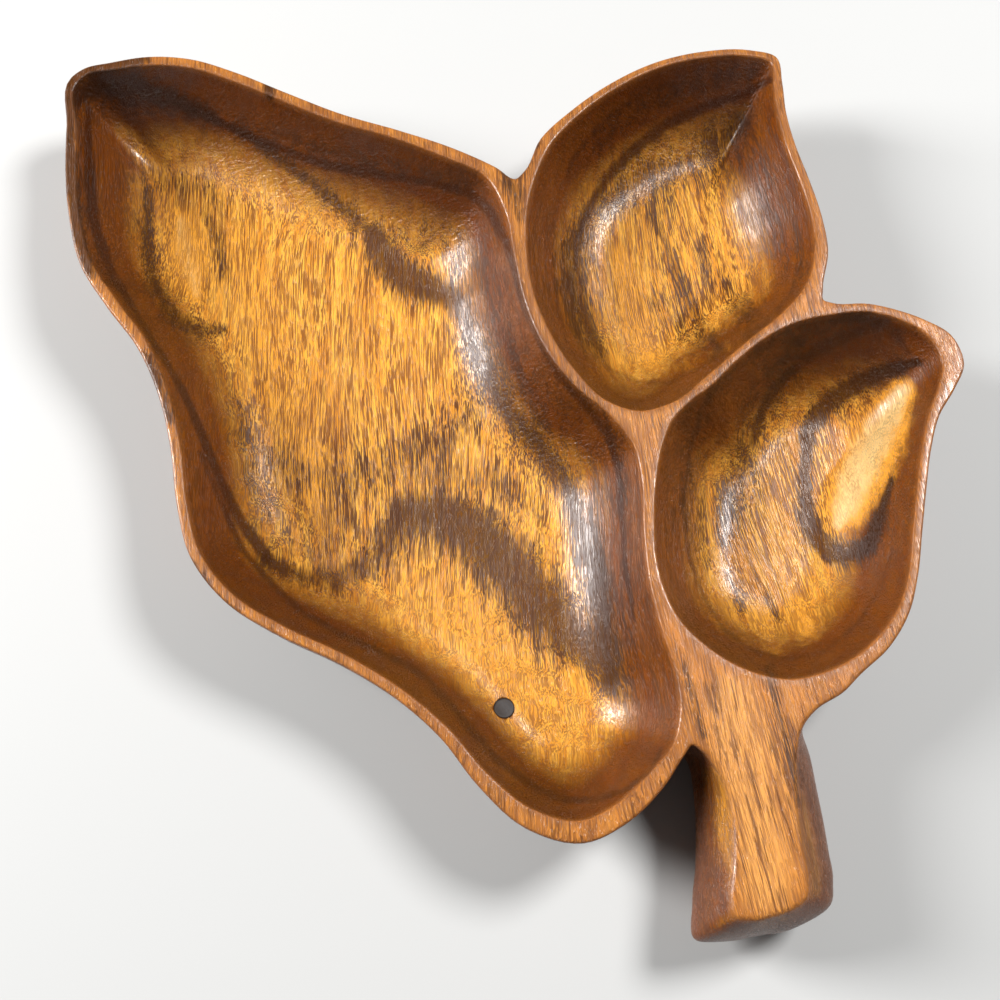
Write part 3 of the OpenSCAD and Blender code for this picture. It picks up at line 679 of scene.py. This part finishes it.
class Net:
    """Short calls for the nodes of one material or group."""

    def __init__(self, tree):
        self.tree = tree

    def node(self, kind, **values):
        made = self.tree.nodes.new(kind)
        for key, value in values.items():
            setattr(made, key, value)
        return made

    def put(self, socket, value):
        if isinstance(value, bpy.types.NodeSocket):
            self.tree.links.new(value, socket)
        else:
            socket.default_value = value

    def math(self, operation, a, b):
        n = self.node("ShaderNodeMath", operation=operation)
        self.put(n.inputs[0], a)
        self.put(n.inputs[1], b)
        return n.outputs[0]

    def plus(self, a, b):
        return self.math("ADD", a, b)

    def times(self, a, b):
        return self.math("MULTIPLY", a, b)

    def minus(self, a, b):
        return self.math("SUBTRACT", a, b)

    def ramp(self, value, low, high, to_low=0.0, to_high=1.0, smooth=True):
        """to_low where the value is low, to_high where it is high, and between them a slope that is
        eased at both ends, or straight if smooth is off."""
        n = self.node("ShaderNodeMapRange", interpolation_type="SMOOTHSTEP" if smooth else "LINEAR")
        for k, v in zip(range(5), (value, low, high, to_low, to_high)):
            self.put(n.inputs[k], v)
        return n.outputs[0]

    def mix(self, factor, a, b):
        n = self.node("ShaderNodeMix", data_type="RGBA", clamp_factor=True)
        # The colours' sockets of this node are its seventh and eighth.
        for k, v in ((0, factor), (6, a), (7, b)):
            self.put(n.inputs[k], v)
        return n.outputs[2]

    def noise(self, vector, scale, detail=2.0, roughness=0.5):
        n = self.node("ShaderNodeTexNoise", noise_dimensions="3D")
        self.put(n.inputs["Vector"], vector)
        for key, v in (("Scale", scale), ("Detail", detail), ("Roughness", roughness)):
            n.inputs[key].default_value = v
        return n.outputs["Fac"]

    def stretched(self, vector, x, y, z):
        n = self.node("ShaderNodeMapping", vector_type="POINT")
        self.put(n.inputs["Vector"], vector)
        n.inputs["Scale"].default_value = (x, y, z)
        return n.outputs[0]

    def attribute(self, name):
        n = self.node("ShaderNodeAttribute", attribute_type="GEOMETRY", attribute_name=name)
        return n.outputs["Fac"]

    def bump(self, shader, height, strength, distance):
        n = self.node("ShaderNodeBump")
        n.inputs["Strength"].default_value = strength
        n.inputs["Distance"].default_value = distance
        self.put(n.inputs["Height"], height)
        self.put(shader.inputs["Normal"], n.outputs[0])


def centred(net, noise, span):
    """A noise of 0 to 1 as a value from minus half the span to plus half the span."""
    return net.times(net.minus(noise, 0.5), span)


def grain_group():
    """Masks of a hardwood with open pores, from Object coordinates in millimetres.

    The grain runs along Y. across = x + lean y + wander, with the lean growing from the left to the right,
    so the pattern leans there. Every mask is noise of (across, y, height), squeezed along the grain:
    pores are short dark dashes, crowds are where pores stand close, fibres are fine threads, streaks are
    broad stripes, layers are growth layers that lie nearly level, ripples are the soft bumps of end grain,
    scores are the land's dark dashes, and gloss is where the lacquer lies smooth. Swirl bends the grain
    round the plug. Dive lets the fibres dip into the board and rise again, so that the cut shows dots.
    """
    group = bpy.data.node_groups.new("wood grain", "ShaderNodeTree")
    for name in ("Swirl", "Dive"):
        group.interface.new_socket(name, in_out="INPUT", socket_type="NodeSocketFloat")
    for name in ("Pores", "Crowds", "Fibres", "Streaks", "Layers", "Ripples", "Scores", "Gloss"):
        group.interface.new_socket(name, in_out="OUTPUT", socket_type="NodeSocketFloat")
    net = Net(group)
    given = net.node("NodeGroupInput")
    out = net.node("NodeGroupOutput")
    mm = net.node("ShaderNodeVectorMath", operation="SCALE")
    net.put(mm.inputs[0], net.node("ShaderNodeTexCoord").outputs["Object"])
    mm.inputs["Scale"].default_value = 1000
    mm = mm.outputs[0]
    split = net.node("ShaderNodeSeparateXYZ")
    net.put(split.inputs[0], mm)
    x, y, z = split.outputs
    lean = net.ramp(x, 0.0, 90.0, 0.02, 0.19)
    wander = centred(net, net.noise(net.stretched(mm, 1, 0.5, 1), 0.016, 1.0), 16.0)
    bend = net.times(given.outputs["Swirl"], centred(net, net.noise(mm, 0.10, 1.0), 16.0))
    across = net.plus(net.plus(x, net.times(lean, y)), net.plus(wander, bend))
    height = net.plus(z, centred(net, net.noise(net.stretched(mm, 1, 0.35, 1), 0.03, 1.0), 10.0))
    dive = net.times(given.outputs["Dive"], centred(net, net.noise(mm, 0.05, 1.0), 21.0))
    joined = net.node("ShaderNodeCombineXYZ")
    for k, v in enumerate((across, y, net.plus(height, dive))):
        net.put(joined.inputs[k], v)
    grain = joined.outputs[0]

    def threads(wide, long, detail, rough=0.5):
        """Noise whose spots are about 1/wide across and 1/long along the grain."""
        return net.noise(net.stretched(grain, wide, long, wide), 1.0, detail, rough)

    crowds = threads(0.22, 0.035, 3.0, 0.6)
    dashes = net.ramp(net.plus(threads(2.1, 0.085, 1.2), centred(net, crowds, 0.30)), 0.49, 0.57)
    dashes = net.times(dashes, net.ramp(crowds, 0.34, 0.54, 0.55, 1.0))
    small = net.times(net.ramp(threads(2.5, 0.22, 0.5), 0.53, 0.62), 0.5)
    scores = net.times(net.ramp(threads(1.3, 0.055, 1.5), 0.54, 0.61),
                       net.ramp(threads(0.16, 0.02, 2.0), 0.38, 0.54))
    masks = {"Pores": net.math("MAXIMUM", dashes, small),
             "Crowds": crowds,
             "Fibres": threads(3.2, 0.16, 3.0, 0.6),
             "Streaks": threads(0.34, 0.018, 3.0, 0.62),
             "Layers": net.noise(net.stretched(grain, 0.012, 0.005, 0.12), 1.0, 2.0),
             "Ripples": net.noise(net.stretched(grain, 0.36, 0.70, 0.36), 1.0, 2.0),
             "Scores": scores,
             "Gloss": net.ramp(threads(1.3, 0.10, 2.0, 0.6), 0.42, 0.58, 1.0, 0.0)}
    for key, mask in masks.items():
        net.put(out.inputs[key], mask)
    return group


GRAIN = grain_group()


def tray_wood():
    """Oiled and lacquered hardwood: gold wood with brown pores, grey-brown heartwood, dark lines round the
    walls, deep brown walls that are mostly painted shade, a paler land, darker brown edges and a painted
    sheen in the lower hollow."""
    mat = bpy.data.materials.new("oiled carved wood")
    mat.use_nodes = True
    net = Net(mat.node_tree)
    shader = mat.node_tree.nodes["Principled BSDF"]
    wood = net.node("ShaderNodeGroup", node_tree=GRAIN)
    net.put(wood.inputs["Swirl"], net.attribute("swirl"))
    net.put(wood.inputs["Dive"], net.attribute("dive"))
    pores, crowds, fibres, streaks, layers, ripples, scores, gloss = wood.outputs
    land, steep = net.attribute("land"), net.attribute("steep")
    colour = net.mix(net.ramp(streaks, 0.34, 0.64), GOLD, BRIGHT_GOLD)
    colour = net.mix(net.ramp(layers, 0.47, 0.68, 0.0, 0.5), colour, LATE_WOOD)
    # Painted shade: the steeper a surface, the more it takes the deep brown of a shaded wall, since steep
    # walls get little light from above; a deeper wood tone there is part of it.
    colour = net.mix(net.times(steep, 0.94), colour, SHADED_WALL)
    # Painted shade, in part: walls facing along the grain are darker still, both for their end grain and
    # for the shade of the walls that face away from the lamps.
    colour = net.mix(net.times(net.attribute("end_grain_and_shade"), 0.62), colour, WALL_ENDS_AND_SHADE)
    colour = net.mix(net.times(land, 0.8), colour, LAND)
    # Pale wood, and then its cream middle, which in the lower hollow is a painted sheen.
    pale = net.plus(net.attribute("pale"), centred(net, streaks, 0.8))
    golden = net.mix(land, PALE_FLOOR, PALE_LAND)
    colour = net.mix(net.ramp(pale, 0.30, 1.2, 0.0, 1.0), colour, golden)
    colour = net.mix(net.ramp(pale, 1.15, 1.95, 0.0, 0.92), colour, CREAM_AND_SHEEN)
    # Stripes and dashes of the land.
    stripe = net.times(land, net.ramp(streaks, 0.46, 0.30, 0.0, 0.7))
    colour = net.mix(stripe, colour, LAND_STRIPE)
    colour = net.mix(net.times(land, net.times(scores, 0.75)), colour, LAND_SCORE)
    # Dark lines round the walls and heartwood, both frayed by the fibres.
    lines = net.plus(net.attribute("wall_lines"),
                     net.plus(centred(net, fibres, 0.4), centred(net, crowds, 0.45)))
    colour = net.mix(net.ramp(lines, 0.22, 0.88, 0.0, 0.84), colour, DARK_WALL_LINE)
    # Besides heartwood, this mask carries the painted shade strokes on some walls.
    heart_and_shade = net.plus(net.plus(net.attribute("heartwood_and_shade"), centred(net, pores, 0.30)),
                     net.plus(centred(net, crowds, 0.62), centred(net, fibres, 0.6)))
    heart_and_shade = net.ramp(heart_and_shade, 0.12, 0.84)
    # On walls heartwood takes a darker copy with painted shade; on the land the same colour is the rim's
    # darker heartwood.
    brown = net.mix(net.math("MAXIMUM", steep, land), HEART_FLOOR, HEART_SHADE_AND_RIM)
    colour = net.mix(net.times(heart_and_shade, 0.90), colour, brown)
    # Pores, weaker on walls, on the land, in pale wood and where the fibres dive.
    fade = net.times(net.ramp(steep, 0.0, 1.0, 0.84, 0.50), net.ramp(land, 0.0, 1.0, 1.0, 0.7))
    fade = net.times(fade, net.ramp(pale, 0.95, 1.35, 1.0, 0.72))
    fade = net.times(fade, net.ramp(net.attribute("dive"), 0.0, 1.0, 1.0, 0.72))
    dark = net.mix(net.ramp(pale, 0.6, 1.6), PORE, PORE_PALE)
    dark = net.mix(net.times(heart_and_shade, 0.9), dark, PORE_HEART)
    # Pores on walls take a darker copy, painted with the walls' shade.
    on_wall = net.ramp(steep, net.ramp(pale, 0.8, 1.4, 0.0, 0.99), 1.0, smooth=False)
    colour = net.mix(net.times(pores, fade), colour, net.mix(on_wall, dark, PORE_IN_WALL_SHADE))
    colour = net.mix(net.ramp(fibres, 0.48, 0.70, 0.0, 0.20), colour, FIBRE)
    # The rim's edges are painted a darker brown, frayed by the fibres and weaker on heartwood.
    edge_band = net.times(net.attribute("edge_band"), net.ramp(fibres, 0.34, 0.60, 0.20, 0.80))
    edge_band = net.times(edge_band, net.ramp(heart_and_shade, 0.0, 1.0, 1.0, 0.35))
    net.put(shader.inputs["Base Color"], net.mix(edge_band, colour, EDGE_BROWN))
    net.put(shader.inputs["Roughness"], net.plus(net.ramp(fibres, 0.2, 0.8, 0.18, 0.28),
                                                 net.times(pores, 0.14)))
    shader.inputs["IOR"].default_value = 1.46
    # The lacquer is broken at the pores, and thin on the walls.
    coat = net.ramp(net.minus(gloss, pores), 0.0, 1.0, 0.03, 0.38)
    net.put(shader.inputs["Coat Weight"], net.times(coat, net.ramp(steep, 0.55, 1.0, 1.0, 0.1)))
    shader.inputs["Coat Roughness"].default_value = 0.14
    # End grain is rippled, and everywhere fibres stand up and pores are open.
    rippled = net.times(net.ramp(net.attribute("end_grain_and_shade"), 0.0, 0.4, 0.25, 2.0),
                        net.ramp(land, 0.0, 1.0, 1.0, 0.3))
    threaded = net.minus(net.times(fibres, 0.30), net.times(pores, 0.8))
    relief = net.plus(net.times(ripples, rippled), threaded)
    net.bump(shader, relief, 1.0, 0.00027)
    return mat


def plug_wood():
    """Dark grey-brown wood of a knot, with faint rings about the middle of the plug."""
    mat = bpy.data.materials.new("dark knot wood")
    mat.use_nodes = True
    net = Net(mat.node_tree)
    shader = mat.node_tree.nodes["Principled BSDF"]
    coords = net.node("ShaderNodeMapping", vector_type="POINT")
    net.put(coords.inputs["Vector"], net.node("ShaderNodeTexCoord").outputs["Object"])
    coords.inputs["Location"].default_value = (-PLUG_AT[0], -PLUG_AT[1], 0)
    coords.inputs["Scale"].default_value = (1000, 1000, 1000)
    flecks = net.noise(coords.outputs[0], 1.4, 4.0, 0.65)
    rings = net.node("ShaderNodeTexWave", wave_type="RINGS", rings_direction="Z")
    net.put(rings.inputs["Vector"], coords.outputs[0])
    for key, v in (("Scale", 0.22), ("Distortion", 3.0), ("Detail", 3.0)):
        rings.inputs[key].default_value = v
    colour = net.mix(net.ramp(flecks, 0.3, 0.7), KNOT, KNOT_FLECK)
    colour = net.mix(net.times(rings.outputs["Fac"], 0.35), colour, KNOT_RING)
    net.put(shader.inputs["Base Color"], colour)
    net.put(shader.inputs["Roughness"], net.ramp(flecks, 0.2, 0.8, 0.48, 0.62))
    net.bump(shader, flecks, 0.4, 0.0001)
    return mat


tray.data.materials.clear()
tray.data.materials.append(tray_wood())
plug.data.materials.append(plug_wood())
for piece, node, slot in ((tray, "carved_tray", "oiled_wood"), (plug, "knot_plug", "knot_wood")):
    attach(piece, "root")
    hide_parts(node)

# Floor, light and camera

floor_mesh = bpy.data.meshes.new("floor")
floor_mesh.from_pydata([(-4, -4, 0), (4, -4, 0), (4, 4, 0), (-4, 4, 0)], [], [(0, 1, 2, 3)])
floor = bpy.data.objects.new("floor", floor_mesh)
bpy.context.scene.collection.objects.link(floor)
floor_mat = bpy.data.materials.new("pale floor")
floor_mat.use_nodes = True
finish = floor_mat.node_tree.nodes["Principled BSDF"]
finish.inputs["Base Color"].default_value = FLOOR_GREY
finish.inputs["Roughness"].default_value = 0.7
floor_mesh.materials.append(floor_mat)

world = bpy.data.worlds.new("studio")
bpy.context.scene.world = world
world.use_nodes = True
back = world.node_tree.nodes["Background"]
back.inputs["Color"].default_value = (1, 1, 1, 1)
back.inputs["Strength"].default_value = 0.07


def soft_lamp(name, place, wide, tall, power):
    """An oval lamp that points at the middle of the floor."""
    lamp = bpy.data.lights.new(name, "AREA")
    lamp.shape, lamp.size, lamp.size_y, lamp.energy = "ELLIPSE", wide, tall, power
    holder = bpy.data.objects.new(name, lamp)
    holder.location = place
    x, y, z = place
    holder.rotation_euler = (math.atan2(math.hypot(x, y), z), 0, math.atan2(-y, -x) - math.pi / 2)
    bpy.context.scene.collection.objects.link(holder)


soft_lamp("key", (1.04, 0.60, 1.54), 0.58, 0.58, 36)
soft_lamp("window", (-1.56, 0.34, 0.88), 0.60, 1.20, 51)

camera_data = bpy.data.cameras.new("camera")
camera_data.sensor_width = 36.0
camera_data.lens = camera_data.sensor_width * FOCAL / FRAME
camera_data.clip_start = 0.01
camera = bpy.data.objects.new("camera", camera_data)
camera.location = EYE / 1000
camera.rotation_euler = (TILT, 0, 0)
bpy.context.scene.collection.objects.link(camera)
bpy.context.scene.camera = camera
bpy.context.scene.view_settings.view_transform = "Standard"
